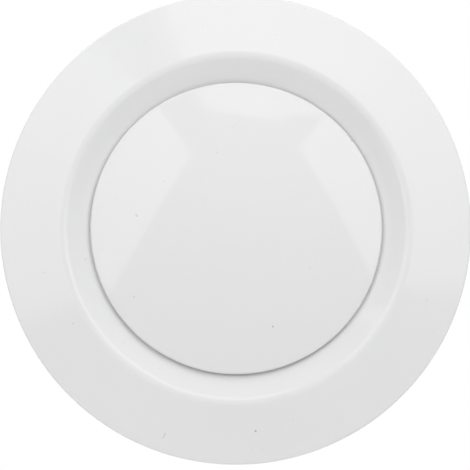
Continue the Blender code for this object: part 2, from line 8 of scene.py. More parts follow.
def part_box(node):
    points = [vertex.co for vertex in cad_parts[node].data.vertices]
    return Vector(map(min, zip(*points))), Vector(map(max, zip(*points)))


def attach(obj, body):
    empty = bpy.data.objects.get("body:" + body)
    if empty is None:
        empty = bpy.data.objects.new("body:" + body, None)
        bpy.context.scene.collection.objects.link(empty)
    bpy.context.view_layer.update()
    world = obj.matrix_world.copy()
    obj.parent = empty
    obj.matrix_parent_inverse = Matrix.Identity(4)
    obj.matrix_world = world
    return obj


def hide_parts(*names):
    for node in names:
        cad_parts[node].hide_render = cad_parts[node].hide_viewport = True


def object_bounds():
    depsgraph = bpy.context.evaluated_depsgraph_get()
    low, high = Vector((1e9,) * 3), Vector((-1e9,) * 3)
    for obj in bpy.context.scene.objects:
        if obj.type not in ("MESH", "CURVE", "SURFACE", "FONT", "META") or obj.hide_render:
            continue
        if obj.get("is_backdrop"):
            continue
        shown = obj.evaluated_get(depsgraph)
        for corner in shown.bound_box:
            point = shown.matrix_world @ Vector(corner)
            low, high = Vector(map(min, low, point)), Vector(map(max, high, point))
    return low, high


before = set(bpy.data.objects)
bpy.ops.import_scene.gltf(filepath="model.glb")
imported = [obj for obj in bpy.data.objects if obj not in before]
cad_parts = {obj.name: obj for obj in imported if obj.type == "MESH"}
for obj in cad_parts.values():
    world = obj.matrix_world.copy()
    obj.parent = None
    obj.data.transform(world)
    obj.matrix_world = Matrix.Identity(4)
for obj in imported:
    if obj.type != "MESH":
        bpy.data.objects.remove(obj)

cad_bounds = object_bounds()

# The valve's axis is Y and the room is towards -Y. Units are metres. Outlines are
# (radius, height) pairs, where height is the distance from the wall into the room.

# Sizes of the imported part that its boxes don't give
FIT = 0.0003
WALL = 0.0020
FUNNEL_SLOPE = math.radians(30.0)
FLANGE_SLOPE = math.radians(13.0)
FLANGE_WIDTH = 0.0195
DISC_OVERLAP = 0.0038
THROAT_RADIUS = 0.0012
RIM_HEIGHT = 0.0030
RIM_ROUNDING = 0.0007
RIM_WALL = 0.0013
RIB_WALL = 0.0010
RIB_LIFT = 0.0006
GASKET_WIDTH = 0.0050
DISC_WALL = 0.0020
DISC_EDGE = 0.0016
DISC_EDGE_ROUNDING = 0.0008
DISC_EDGE_SLOPE = math.radians(12.5)
DISC_LIP_WIDTH = 0.0020
BORE_CLEARANCE = 0.0003
BOSS_WALL = 0.0031
BOSS_WEB = 0.0020
BOSS_REACH = 0.0070
BOSS_CHAMFER = 0.0008
DISC_RIB_THICKNESS = 0.0014
DISC_RIB_REACH = 0.0036
DISC_RIB_COUNT = 6
HUB_WALL = 0.0038
HUB_DRAFT = 0.0006
HUB_LENGTH = 0.0140
SPOKE_COUNT = 3
SPOKE_THICKNESS = 0.0024
SPOKE_FLARE = 0.0016
SPOKE_FLARE_LENGTH = 0.0030
SPOKE_STEP = 0.0020
RING_OUTER = 0.04925
RING_WALL = 0.0018
RING_TIP_CHAMFER = 0.0010
SCREW_HOLE_RADIUS = 0.0023
SCREW_SINK_RADIUS = 0.0042
SEAL_GROOVE_WIDTH = 0.0050
SEAL_GROOVE_DEPTH = 0.0006
SEAL_FROM_TIP = 0.0110
SEAL_BAND = 0.0008
SEAL_LIP_THICKNESS = 0.0006
SEAL_LIP_LEAN = 0.0012
SEAL_LIPS = 2
CLIP_THICKNESS = 0.0005
CLIP_WIDTH = 0.0090
CLIP_BASE = 0.0080
CLIP_BASE_FROM_END = 0.0025
CLIP_RISE = 0.0075
CLIP_FALL = 0.0060
CLIP_END_LIFT = 0.0010
CLIP_BEND = 0.0015
RIVET_RADIUS = 0.0016
RIVET_HEAD_RADIUS = 0.0030
RIVET_HEAD_HEIGHT = 0.0008
SPINDLE_CHAMFER = 0.0008
SPINDLE_TAIL = 0.0020
STOP_CLIP_BAND = 0.0028
STOP_CLIP_MOUTH = math.radians(86.0)
CLIP_GROOVE_DEPTH = 0.0010
NUT_CHAMFER = 0.0005
DISC_NUT_FLAT = 0.0080
LOCK_NUT_LOBES = 8
LOCK_NUT_LOBE_HEIGHT = 0.0007

# Details of the moulded and turned surfaces
THREAD_PITCH = 0.0030
THREAD_DEPTH = 0.0008
EDGE_BREAK = 0.0002
NICK_RADIUS = 0.0005
NICK_PLACE = (0.0358, 0.0267)
# The crest is rounder than in the solids, so that a thin light line runs along it
CREST_ROUNDING = 0.0039
# Half the thread's foot and the width of its flank, as shares of the pitch
THREAD_FOOT = 0.36
THREAD_FLANK = 0.20
# Width of a spoke's back as a share of its thickness
SPOKE_BACK_WIDTH = 0.6
# Where the chamfer of a nut or washer bends, as a share of its size
CHAMFER_BEND = 0.3

# Smoothness
FINE_STEPS = 240
SMALL_STEPS = 96
RIVET_STEPS = 48
CLIP_STEPS = 12
THREAD_STEPS = 72
THREAD_ROWS = 440
ARC_STEP = math.radians(6.0)
DOME_POINTS = 28
SPOKE_NOSE_POINTS = 13
SPOKE_FLARE_STATIONS = 7
NICK_SUBDIVISIONS = 3
SMOOTH_LIMIT = math.radians(32.0)
LONGEST_SETBACK = 0.49
MERGE = 1e-7

# Specks of dust where the photograph shows them: x, z, radius and strength
DISC_SPECKS = ((0.0110, -0.0302, 0.00030, 0.45), (-0.0306, 0.0036, 0.00045, 0.20),
               (-0.0313, -0.0212, 0.00028, 0.22), (-0.0061, 0.0229, 0.00030, 0.13))
HOUSING_SPECKS = ((-0.0221, -0.0635, 0.00026, 0.30), (-0.0218, -0.0629, 0.00026, 0.28),
                  (-0.0224, -0.0641, 0.00024, 0.26), (0.0058, -0.0621, 0.00030, 0.62),
                  (-0.0499, -0.0293, 0.00028, 0.22), (-0.0462, -0.0097, 0.00040, 0.13))
# A speck fades between these shares of its radius
SPOT_OUTSIDE = 1.3
SPOT_CORE = 0.6

# Sizes in the materials: foam cells, and the rings that turning leaves
FOAM_CELL = 0.0005
TURNED_RING = 0.0004
# How far along each axis a noise is moved for a seed of 1
SEED_STEP = (1.0, 0.7, 0.3)

# Colours
WHITE = (0.86, 0.86, 0.86)
FLOW_MARK = (0.845, 0.848, 0.852)
RING_WHITE = (0.84, 0.84, 0.84)
NUT_WHITE = (0.82, 0.82, 0.82)
SPINDLE_WHITE = (0.82, 0.82, 0.81)
NYLON = (0.80, 0.80, 0.77)
NYLON_CLOUD = (0.74, 0.73, 0.68)
SPECK = (0.20, 0.19, 0.18)
GLOSS_DUST = (0.60, 0.59, 0.58)
SATIN_DUST = (0.55, 0.54, 0.52)
FOAM = (0.75, 0.75, 0.74)
# Painted shade for the hollows of the foam's pores
PAINTED_PORE_SHADE = (0.52, 0.52, 0.51)
FOAM_CLOUD = (0.66, 0.66, 0.64)
RUBBER = (0.022, 0.022, 0.023)
RUBBER_BLOOM = (0.06, 0.06, 0.062)
STEEL = (0.62, 0.62, 0.63)
STEEL_DULL = (0.44, 0.43, 0.42)
ALUMINIUM = (0.75, 0.75, 0.76)
ALUMINIUM_DULL = (0.52, 0.52, 0.53)
FLOOR_PAPER = (0.80, 0.80, 0.80)
FLOOR_CLOUD = (0.78, 0.78, 0.78)
# Satin plastic's darker clouds, as a share of its colour
SATIN_SHADE = 0.965

# Stage: camera, room light, softboxes and floor
CAMERA_PLACE = Vector((-0.016, -0.600, -0.030))
AIM = Vector((-0.00042, -RIM_HEIGHT, -0.002075))
LENS = 148.80
SENSOR = 36.0
CLIP_START = 0.01
FLOOR_LEVEL = -0.200
FLOOR_HALF = 0.300
# Strength of the sky towards the room and behind the valve, and half the step between them
FRONT_SKY = 0.04
BACK_SKY = 0.95
SKY_BLEND = 0.3
# Elevation, turn to the right and strength of the soft lights in the sky towards the room
SKY_LIGHTS = ((math.radians(60.0), math.radians(20.0), 1.54), (math.radians(-60.0), 0.0, 1.44))
SKY_LIGHT_SPREAD = 0.6
PANEL_DISTANCE = 1.0
WHITE_LIGHT = (1.0, 1.0, 1.0, 1.0)
# Softboxes: strength, and corners as (x, z) in their plane in front of the valve
PANELS = {
    "left_softbox": (2.10, (
        (-0.145, 0.333), (-0.300, 0.570), (-0.360, 0.605), (-0.400, 0.540), (-0.540, -0.213),
        (-0.457, -0.180),
    )),
    "far_left_softbox": (1.96, (
        (-0.360, 0.605), (-0.620, 0.820), (-1.150, 0.900), (-1.150, -0.300), (-0.540, -0.213),
        (-0.400, 0.540),
    )),
    "top_softbox": (2.13, (
        (-0.098, 0.532), (-0.218, 0.780), (-0.300, 1.150), (0.850, 1.150), (0.420, 0.555),
        (0.385, 0.530), (0.232, 0.520), (0.222, 0.484), (0.120, 0.494),
    )),
    "right_softbox": (2.07, (
        (0.275, 0.366), (0.420, 0.555), (0.850, 1.150), (1.150, 0.300), (1.050, -0.020),
        (0.605, -0.175),
    )),
}


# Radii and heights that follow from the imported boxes

def front_of(node):
    """Height of the side of a node that faces the room."""
    return -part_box(node)[0].y


def back_of(node):
    """Height of the side of a node that faces the duct."""
    return -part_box(node)[1].y


rim_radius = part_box("housing")[1].x
tube_back = back_of("housing")
disc_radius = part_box("disc")[1].x
spindle_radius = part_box("spindle")[1].x
ring_flange_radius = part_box("mounting_ring")[1].x
ring_flange_thickness = front_of("mounting_ring")
ring_tip = back_of("mounting_ring")
seal_tip_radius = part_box("ring_lip_seal")[1].x
lock_nut_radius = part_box("lock_nut")[1].x - LOCK_NUT_LOBE_HEIGHT
washer_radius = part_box("lock_washer")[1].x

crest_radius = rim_radius - FLANGE_WIDTH
crest_height = RIM_HEIGHT + FLANGE_WIDTH * math.tan(FLANGE_SLOPE)
tube_inner = disc_radius - DISC_OVERLAP
tube_outer = tube_inner + WALL
rim_inner = rim_radius - RIM_WALL
gasket_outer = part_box("flange_gasket")[1].x
gasket_inner = gasket_outer - GASKET_WIDTH
rib_outer = gasket_inner - FIT
rib_inner = rib_outer - RIB_WALL
ring_inner = RING_OUTER - RING_WALL
bore_radius = spindle_radius + BORE_CLEARANCE
hub_radius = bore_radius + HUB_WALL
boss_radius = bore_radius + BOSS_WALL
hub_back = front_of("lock_washer") + FIT
hub_front = hub_back + HUB_LENGTH
spoke_front = hub_front - SPOKE_STEP
spoke_back = hub_back + SPOKE_STEP
dome_radius = disc_radius / math.sin(DISC_EDGE_SLOPE)
disc_apex = DISC_EDGE + dome_radius * (1.0 - math.cos(DISC_EDGE_SLOPE))
disc_height = front_of("disc") - disc_apex
clip_back = tube_back + CLIP_BASE_FROM_END
rivet_height = clip_back + CLIP_BASE / 2
spoke_angles = [math.pi / 2 + math.tau * n / SPOKE_COUNT for n in range(SPOKE_COUNT)]
clip_angles = [angle + math.pi / SPOKE_COUNT for angle in spoke_angles]


def flange_front(radius):
    """Height of the flange's face."""
    return RIM_HEIGHT + (rim_radius - radius) * math.tan(FLANGE_SLOPE)


def flange_back(radius):
    """Height of the flange's underside."""
    return flange_front(radius) - WALL / math.cos(FLANGE_SLOPE)


def funnel_front(radius):
    """Height of the funnel's face."""
    return crest_height - (crest_radius - radius) * math.tan(FUNNEL_SLOPE)


def funnel_back(radius):
    """Height of the funnel's underside."""
    return funnel_front(radius) - WALL / math.cos(FUNNEL_SLOPE)


def dome(radius, inset=0.0):
    """Height of the disc's face above its back edge, or of a surface below it."""
    sphere = dome_radius - inset
    return disc_apex - dome_radius + math.sqrt(sphere ** 2 - radius ** 2)


# Outlines

def spread(start, end, count):
    """Evenly spaced numbers from start to end."""
    return [start + (end - start) * n / (count - 1) for n in range(count)]


def smooth(share):
    """A share from 0 to 1 that starts and ends gently."""
    share = min(max(share, 0.0), 1.0)
    return share * share * (3.0 - 2.0 * share)


def rounded_corner(before, corner, after, radius):
    """Points of the arc that rounds one corner, no longer than its sides allow."""
    to_before = before - corner
    to_after = after - corner
    half = to_before.angle(to_after) / 2
    longest = LONGEST_SETBACK * min(to_before.length, to_after.length)
    setback = min(radius / math.tan(half), longest)
    radius = setback * math.tan(half)
    middle = (to_before.normalized() + to_after.normalized()).normalized()
    centre = corner + middle * (radius / math.sin(half))
    start = corner + to_before.normalized() * setback - centre
    turn = start.angle_signed(corner + to_after.normalized() * setback - centre)
    steps = max(2, math.ceil(abs(turn) / ARC_STEP))
    return [centre + Matrix.Rotation(-turn * n / steps, 2) @ start for n in range(steps + 1)]


def rounded(corners, is_open=False):
    """An outline from (radius, height) corners; a third number rounds a corner."""
    points = [Vector(corner[:2]) for corner in corners]
    outline = []
    for n, corner in enumerate(corners):
        is_end = is_open and n in (0, len(corners) - 1)
        if len(corner) == 3 and not is_end:
            after = points[(n + 1) % len(points)]
            outline += rounded_corner(points[n - 1], points[n], after, corner[2])
        else:
            outline.append(points[n])
    return outline


def sheet_outline(path, thickness):
    """Closed outline of bent sheet, whose middle follows an open path."""
    left, right = [], []
    for n, point in enumerate(path):
        before = path[max(n - 1, 0)]
        after = path[min(n + 1, len(path) - 1)]
        along = (after - before).normalized()
        side = Vector((-along.y, along.x)) * thickness / 2
        left.append(point + side)
        right.append(point - side)
    return left + right[::-1]


# Meshes

def shade(mesh):
    """Smooth round faces with sharp edges between them."""
    mesh.shade_smooth()
    mesh.set_sharp_from_angle(angle=SMOOTH_LIMIT)


def finish_mesh(bm, name):
    """Turns a bmesh into an object."""
    bmesh.ops.remove_doubles(bm, verts=bm.verts, dist=MERGE)
    bmesh.ops.recalc_face_normals(bm, faces=bm.faces)
    mesh = bpy.data.meshes.new(name)
    bm.to_mesh(mesh)
    bm.free()
    shade(mesh)
    made = bpy.data.objects.new(name, mesh)
    bpy.context.collection.objects.link(made)
    return made


def turned(name, outline, steps, sweep=math.tau):
    """Turns an outline about the valve's axis, all round or through a sector."""
    bm = bmesh.new()
    is_full = sweep == math.tau
    first_angle = 0.0 if is_full else -sweep / 2
    start = Matrix.Rotation(-first_angle, 4, "Y")
    verts = [bm.verts.new(start @ Vector((p[0], -p[1], 0.0))) for p in outline]
    edges = [bm.edges.new(pair) for pair in zip(verts, verts[1:])]
    if outline[0][0] > 0.0:
        edges.append(bm.edges.new((verts[-1], verts[0])))
    bmesh.ops.spin(
        bm, geom=verts + edges, cent=(0, 0, 0), axis=(0, -1, 0), angle=sweep,
        steps=steps, use_merge=is_full,
    )
    if not is_full:
        bmesh.ops.holes_fill(bm, edges=[e for e in bm.edges if e.is_boundary], sides=0)
    return finish_mesh(bm, name)


def stacked(name, rows, steps, is_ring):
    """A round piece through (radius by angle, height) rows, as a ring or capped."""
    bm = bmesh.new()
    angles = [math.tau * n / steps for n in range(steps)]
    loops = []
    for radius_at, height in rows:
        spots = [(a, radius_at(a)) for a in angles]
        loops.append([
            bm.verts.new((r * math.cos(a), -height, r * math.sin(a))) for a, r in spots
        ])
    following = loops[1:] + loops[:1] if is_ring else loops[1:]
    for low, high in zip(loops, following):
        for n in range(steps):
            m = (n + 1) % steps
            bm.faces.new((low[n], low[m], high[m], high[n]))
    if not is_ring:
        bm.faces.new(loops[0])
        bm.faces.new(loops[-1])
    return finish_mesh(bm, name)


def plate(name, outline, thickness):
    """A flat plate in the plane of the axis and +X, centred on that plane."""
    bm = bmesh.new()
    face = bm.faces.new([bm.verts.new((p[0], -p[1], -thickness / 2)) for p in outline])
    grown = bmesh.ops.extrude_face_region(bm, geom=[face])
    top = [item for item in grown["geom"] if isinstance(item, bmesh.types.BMVert)]
    bmesh.ops.translate(bm, verts=top, vec=(0, 0, thickness))
    return finish_mesh(bm, name)


def lofted(name, sections):
    """A closed solid through sections that have the same number of points."""
    bm = bmesh.new()
    loops = [[bm.verts.new(point) for point in section] for section in sections]
    count = len(loops[0])
    for low, high in zip(loops, loops[1:]):
        for n in range(count):
            m = (n + 1) % count
            bm.faces.new((low[n], low[m], high[m], high[n]))
    bm.faces.new(loops[0])
    bm.faces.new(loops[-1])
    return finish_mesh(bm, name)


def radial_cylinder(name, radius, near, far, height):
    """A cylinder along +X, between two distances from the axis."""
    bm = bmesh.new()
    bmesh.ops.create_cone(
        bm, cap_ends=True, segments=RIVET_STEPS, radius1=radius, radius2=radius,
        depth=far - near,
    )
    bmesh.ops.rotate(bm, verts=bm.verts, matrix=Matrix.Rotation(math.pi / 2, 3, "Y"))
    bmesh.ops.translate(bm, verts=bm.verts, vec=((near + far) / 2, -height, 0.0))
    return finish_mesh(bm, name)


def turn_to(made, angle):
    """Turns a piece's mesh about the valve's axis, from +X to this angle."""
    made.data.transform(Matrix.Rotation(-angle, 4, "Y"))
    return made


def raise_to(made, height):
    """Moves a piece's mesh from the wall towards the room."""
    made.data.transform(Matrix.Translation((0.0, -height, 0.0)))
    return made


def combine(target, tools, operation):
    """Joins shapes to an object, or cuts them out, and removes the shapes."""
    for tool in tools:
        change = target.modifiers.new(tool.name, "BOOLEAN")
        change.operation = operation
        change.solver = "EXACT"
        change.object = tool
    bpy.context.view_layer.update()
    graph = bpy.context.evaluated_depsgraph_get()
    mesh = bpy.data.meshes.new_from_object(target.evaluated_get(graph))
    target.modifiers.clear()
    target.data = mesh
    for tool in tools:
        bpy.data.objects.remove(tool)
    shade(mesh)
    return target


# Housing

def housing_outline():
    """Section of the flange, crest, funnel and tube, with the ribs behind."""
    flange_wall = WALL / math.cos(FLANGE_SLOPE)
    funnel_wall = WALL / math.cos(FUNNEL_SLOPE)
    slopes = math.tan(FLANGE_SLOPE) + math.tan(FUNNEL_SLOPE)
    crest_back = crest_radius + (funnel_wall - flange_wall) / slopes
    return rounded([
        (rim_radius, FIT, EDGE_BREAK),
        (rim_radius, RIM_HEIGHT, RIM_ROUNDING),
        (crest_radius, crest_height, CREST_ROUNDING),
        (tube_inner, funnel_front(tube_inner), THROAT_RADIUS),
        (tube_inner, tube_back, EDGE_BREAK),
        (tube_outer, tube_back, RIM_ROUNDING),
        (tube_outer, funnel_back(tube_outer)),
        (crest_back, flange_back(crest_back)),
        (rib_inner, flange_back(rib_inner)),
        (rib_inner, RIB_LIFT, EDGE_BREAK),
        (rib_outer, RIB_LIFT, EDGE_BREAK),
        (rib_outer, flange_back(rib_outer)),
        (rim_inner, flange_back(rim_inner)),
        (rim_inner, FIT, EDGE_BREAK),
    ])


def spoke_section(radius, thickness):
    """Section of a spoke: round towards the room, slim towards the duct."""
    half = thickness / 2
    nose = spoke_front - half
    arc = [
        (half * math.cos(turn), nose + half * math.sin(turn))
        for turn in spread(0.0, math.pi, SPOKE_NOSE_POINTS)
    ]
    back = [(side * SPOKE_BACK_WIDTH * half, spoke_back) for side in (-1, 1)]
    return [Vector((radius, -height, side)) for side, height in arc + back]


def make_spoke(angle):
    """One spoke, thicker at both ends where it grows out of hub and tube."""
    hub_end = hub_radius + HUB_DRAFT
    stations = [hub_radius - HUB_WALL / 2]
    stations += spread(hub_end, hub_end + SPOKE_FLARE_LENGTH, SPOKE_FLARE_STATIONS)
    stations += spread(tube_inner - SPOKE_FLARE_LENGTH, tube_inner, SPOKE_FLARE_STATIONS)
    stations.append(tube_inner + WALL / 2)
    sections = []
    for radius in stations:
        from_end = min(radius - hub_end, tube_inner - radius)
        flare = SPOKE_FLARE * (1.0 - smooth(from_end / SPOKE_FLARE_LENGTH))
        sections.append(spoke_section(radius, SPOKE_THICKNESS + flare))
    return turn_to(lofted("spoke_shape", sections), angle)


def make_housing():
    """Flange, funnel, tube, spokes and hub in one moulding."""
    housing = turned("white_housing", housing_outline(), FINE_STEPS)
    hub = turned("hub_shape", rounded([
        (bore_radius, hub_front, EDGE_BREAK),
        (hub_radius, hub_front, RIM_ROUNDING),
        (hub_radius + HUB_DRAFT, hub_back, RIM_ROUNDING),
        (bore_radius, hub_back, EDGE_BREAK),
    ]), SMALL_STEPS)
    combine(hub, [make_spoke(angle) for angle in spoke_angles], "UNION")
    combine(housing, [hub], "UNION")
    holes = []
    for angle in clip_angles:
        hole = radial_cylinder(
            "rivet_hole", RIVET_RADIUS + FIT, tube_inner - WALL, tube_outer + WALL, rivet_height,
        )
        holes.append(turn_to(hole, angle))
    return combine(housing, holes, "DIFFERENCE")


def make_gasket():
    """Foam ring with softly rounded edges."""
    inner_front = front_of("flange_gasket")
    outer_front = inner_front - (gasket_outer - gasket_inner) * math.tan(FLANGE_SLOPE)
    return turned("foam_gasket", rounded([
        (gasket_inner, 0.0, EDGE_BREAK),
        (gasket_outer, 0.0, EDGE_BREAK),
        (gasket_outer, outer_front, EDGE_BREAK),
        (gasket_inner, inner_front, EDGE_BREAK),
    ]), FINE_STEPS)


# Mounting ring and its seal

def make_ring():
    """Mounting ring with countersunk screw holes in its flange."""
    entry_height = min(funnel_back(ring_inner) - FIT, ring_flange_thickness - RIM_ROUNDING)
    entry_run = (ring_flange_thickness - entry_height) / math.tan(FUNNEL_SLOPE)
    groove_back = ring_tip + SEAL_FROM_TIP
    groove_front = groove_back + SEAL_GROOVE_WIDTH
    groove_radius = RING_OUTER - SEAL_GROOVE_DEPTH
    ring = turned("duct_ring", rounded([
        (ring_flange_radius, 0.0, EDGE_BREAK),
        (ring_flange_radius, ring_flange_thickness, RIM_ROUNDING),
        (ring_inner + entry_run, ring_flange_thickness, EDGE_BREAK),
        (ring_inner, entry_height, EDGE_BREAK),
        (ring_inner, ring_tip, EDGE_BREAK),
        (RING_OUTER - RING_WALL / 2, ring_tip, EDGE_BREAK),
        (RING_OUTER, ring_tip + RING_TIP_CHAMFER, EDGE_BREAK),
        (RING_OUTER, groove_back),
        (groove_radius, groove_back),
        (groove_radius, groove_front),
        (RING_OUTER, groove_front),
        (RING_OUTER, 0.0),
    ]), FINE_STEPS)
    circle = (RING_OUTER + ring_flange_radius) / 2
    sink_depth = SCREW_SINK_RADIUS - SCREW_HOLE_RADIUS
    outline = [
        Vector((0.0, 2 * ring_flange_thickness)),
        Vector((SCREW_SINK_RADIUS, 2 * ring_flange_thickness)),
        Vector((SCREW_SINK_RADIUS, ring_flange_thickness)),
        Vector((SCREW_HOLE_RADIUS, ring_flange_thickness - sink_depth)),
        Vector((SCREW_HOLE_RADIUS, -ring_flange_thickness)),
        Vector((0.0, -ring_flange_thickness)),
    ]
    holes = []
    for angle in spoke_angles:
        hole = turned("screw_hole", outline, RIVET_STEPS)
        place = (circle * math.cos(angle), 0.0, circle * math.sin(angle))
        hole.data.transform(Matrix.Translation(place))
        holes.append(hole)
    return combine(ring, holes, "DIFFERENCE")


def make_seal():
    """Rubber band with two lips that lean towards the room."""
    bottom = RING_OUTER - SEAL_GROOVE_DEPTH + FIT
    top = bottom + SEAL_BAND
    low = ring_tip + SEAL_FROM_TIP + FIT
    high = low + SEAL_GROOVE_WIDTH - 2 * FIT
    pitch = (high - low) / SEAL_LIPS
    corners = [(bottom, high), (bottom, low), (top, low)]
    for n in range(SEAL_LIPS):
        root = low + pitch * n + SEAL_LIP_THICKNESS / 2
        corners += [
            (top, root, EDGE_BREAK),
            (seal_tip_radius, root + SEAL_LIP_LEAN, EDGE_BREAK),
            (seal_tip_radius, root + SEAL_LIP_LEAN + SEAL_LIP_THICKNESS / 2, EDGE_BREAK),
            (top, root + SEAL_LIP_THICKNESS, EDGE_BREAK),
        ]
    corners.append((top, high))
    return turned("rubber_seal", rounded(corners), FINE_STEPS)


# Spring clips and rivets

def make_clip(number, angle):
    """One bowed strip of spring steel on the tube."""
    seat = tube_outer + FIT + CLIP_THICKNESS / 2
    bow = ring_inner - FIT - CLIP_THICKNESS / 2
    base_front = clip_back + CLIP_BASE
    path = rounded([
        (seat, clip_back),
        (seat, base_front, CLIP_BEND),
        (bow, base_front + CLIP_RISE, CLIP_BEND),
        (seat + CLIP_END_LIFT, base_front + CLIP_RISE + CLIP_FALL),
    ], is_open=True)
    outline = sheet_outline(path, CLIP_THICKNESS)
    clip = turned(f"steel_clip_{number}", outline, CLIP_STEPS, CLIP_WIDTH / tube_outer)
    hole = radial_cylinder("clip_hole", RIVET_RADIUS + FIT, seat - WALL, seat + WALL, rivet_height)
    return turn_to(combine(clip, [hole], "DIFFERENCE"), angle)


def make_rivet(number, angle):
    """One rivet: a round head outside, an upset end inside the tube."""
    inside = tube_inner - FIT
    outside = tube_outer + 2 * FIT + CLIP_THICKNESS
    rivet = turned(f"rivet_{number}", rounded([
        (0.0, outside + RIVET_HEAD_HEIGHT),
        (RIVET_HEAD_RADIUS, outside + RIVET_HEAD_HEIGHT, RIVET_HEAD_HEIGHT),
        (RIVET_HEAD_RADIUS, outside),
        (RIVET_RADIUS, outside),
        (RIVET_RADIUS, inside),
        (RIVET_HEAD_RADIUS - RIVET_HEAD_HEIGHT, inside, EDGE_BREAK),
        (RIVET_RADIUS, inside - RIVET_HEAD_HEIGHT, EDGE_BREAK),
        (0.0, inside - RIVET_HEAD_HEIGHT),
    ], is_open=True), RIVET_STEPS)
    lay_along_x = Matrix.Rotation(math.pi / 2, 4, "Z")
    rivet.data.transform(Matrix.Translation((0.0, -rivet_height, 0.0)) @ lay_along_x)
    return turn_to(rivet, angle)


# Disc

def make_boss():
    """Boss with a blind hole for the spindle, and the ribs that grow out of it."""
    hole_end = disc_apex - DISC_WALL - BOSS_WEB
    top = disc_apex - DISC_WALL / 2
    boss = turned("boss_shape", rounded([
        (0.0, top),
        (boss_radius, top),
        (boss_radius, -BOSS_REACH, BOSS_CHAMFER),
        (bore_radius, -BOSS_REACH, EDGE_BREAK),
        (bore_radius, hole_end),
        (0.0, hole_end),
    ], is_open=True), SMALL_STEPS)
    inner = boss_radius - BOSS_WALL / 2
    outer = disc_radius - DISC_LIP_WIDTH / 2
    outline = rounded([
        *[(r, dome(r, DISC_WALL / 2)) for r in spread(inner, outer, DOME_POINTS)],
        (outer, 0.0),
        (disc_radius - DISC_LIP_WIDTH, 0.0),
        (boss_radius, -DISC_RIB_REACH),
        (inner, -DISC_RIB_REACH),
    ])
    ribs = []
    for n in range(DISC_RIB_COUNT):
        rib = plate("rib_shape", outline, DISC_RIB_THICKNESS)
        ribs.append(turn_to(rib, spoke_angles[0] + math.tau * n / DISC_RIB_COUNT))
    return combine(boss, ribs, "UNION")


def make_disc():
    """Domed disc with its seat lip, boss and ribs, and the small nick in its edge."""
    lip_inner = disc_radius - DISC_LIP_WIDTH
    front = [(r, dome(r)) for r in spread(0.0, disc_radius, DOME_POINTS)]
    back = [(r, dome(r, DISC_WALL)) for r in spread(lip_inner, 0.0, DOME_POINTS)]
    front[-1] = (*front[-1], DISC_EDGE_ROUNDING)
    disc = turned("white_disc", rounded([
        *front,
        (disc_radius, 0.0, EDGE_BREAK),
        (lip_inner, -DISC_LIP_WIDTH * math.tan(FUNNEL_SLOPE), EDGE_BREAK),
        *back,
    ], is_open=True), FINE_STEPS)
    combine(disc, [make_boss()], "UNION")
    bm = bmesh.new()
    bmesh.ops.create_icosphere(bm, subdivisions=NICK_SUBDIVISIONS, radius=NICK_RADIUS)
    nick = finish_mesh(bm, "nick_shape")
    nick.data.transform(Matrix.Translation((NICK_PLACE[0], -DISC_EDGE, NICK_PLACE[1])))
    combine(disc, [nick], "DIFFERENCE")
    return raise_to(disc, disc_height)


# Spindle and its fasteners

def make_spindle():
    """Spindle with a coarse right-hand thread and a clip groove."""
    front = front_of("spindle")
    end = back_of("spindle")
    groove_back = end + SPINDLE_TAIL
    groove_front = front_of("stop_clip") + FIT
    core = spindle_radius - THREAD_DEPTH

    def limit(height):
        """Largest radius at a height, with the groove and the chamfered ends."""
        if groove_back <= height <= groove_front:
            return spindle_radius - CLIP_GROOVE_DEPTH
        from_end = min(front - height, height - end)
        return spindle_radius - max(SPINDLE_CHAMFER - from_end, 0.0)

    def row(height):
        """Radius by angle at a height, and the height."""
        def radius(angle):
            phase = (height / THREAD_PITCH - angle / math.tau) % 1.0
            ridge = smooth((THREAD_FOOT - abs(phase - 0.5)) / THREAD_FLANK)
            return min(core + THREAD_DEPTH * ridge, limit(height))
        return radius, height

    heights = spread(front, end, THREAD_ROWS)
    for edge in (groove_front, groove_back):
        heights += [edge - 2 * MERGE, edge + 2 * MERGE]
    rows = [row(height) for height in sorted(heights, reverse=True)]
    return stacked("threaded_spindle", rows, THREAD_STEPS, is_ring=False)


def ring_rows(radius_at, front, back, inner, edge):
    """Rows of a ring with chamfered edges, whose outside follows a function."""
    bend = edge * CHAMFER_BEND

    def inset(amount):
        """The outside's function, moved in by an amount."""
        return lambda angle: radius_at(angle) - amount

    return [
        (lambda angle: inner + edge / 2, back),
        (inset(edge), back),
        (inset(bend), back + bend),
        (inset(0.0), back + edge),
        (inset(0.0), front - edge),
        (inset(bend), front - bend),
        (inset(edge), front),
        (lambda angle: inner + edge / 2, front),
        (lambda angle: inner, front - edge / 2),
        (lambda angle: inner, back + edge / 2),
    ]


def make_ring_piece(name, node, radius_at, edge):
    """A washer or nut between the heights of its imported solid."""
    rows = ring_rows(radius_at, front_of(node), back_of(node), bore_radius, edge)
    return stacked(name, rows, SMALL_STEPS * 2, is_ring=True)


def washer(angle):
    """Outside of a washer."""
    return washer_radius


def hexagon(angle):
    """Outside of the hexagon nut."""
    return DISC_NUT_FLAT / math.cos(angle % (math.tau / 6) - math.tau / 12)


def lobes(angle):
    """Outside of the lock nut, with rounded finger lobes."""
    return lock_nut_radius + LOCK_NUT_LOBE_HEIGHT * math.cos(LOCK_NUT_LOBES * angle)


def make_stop_clip():
    """Open spring ring in the spindle's groove."""
    inner = spindle_radius - CLIP_GROOVE_DEPTH + FIT
    outer = inner + STOP_CLIP_BAND
    front = front_of("stop_clip")
    back = back_of("stop_clip")
    clip = turned("steel_stop_clip", rounded([
        (inner, back, EDGE_BREAK),
        (inner, front, EDGE_BREAK),
        (outer, front, EDGE_BREAK),
        (outer, back, EDGE_BREAK),
    ]), SMALL_STEPS, math.tau - STOP_CLIP_MOUTH)
    return turn_to(clip, math.pi / 2)


# Node materials

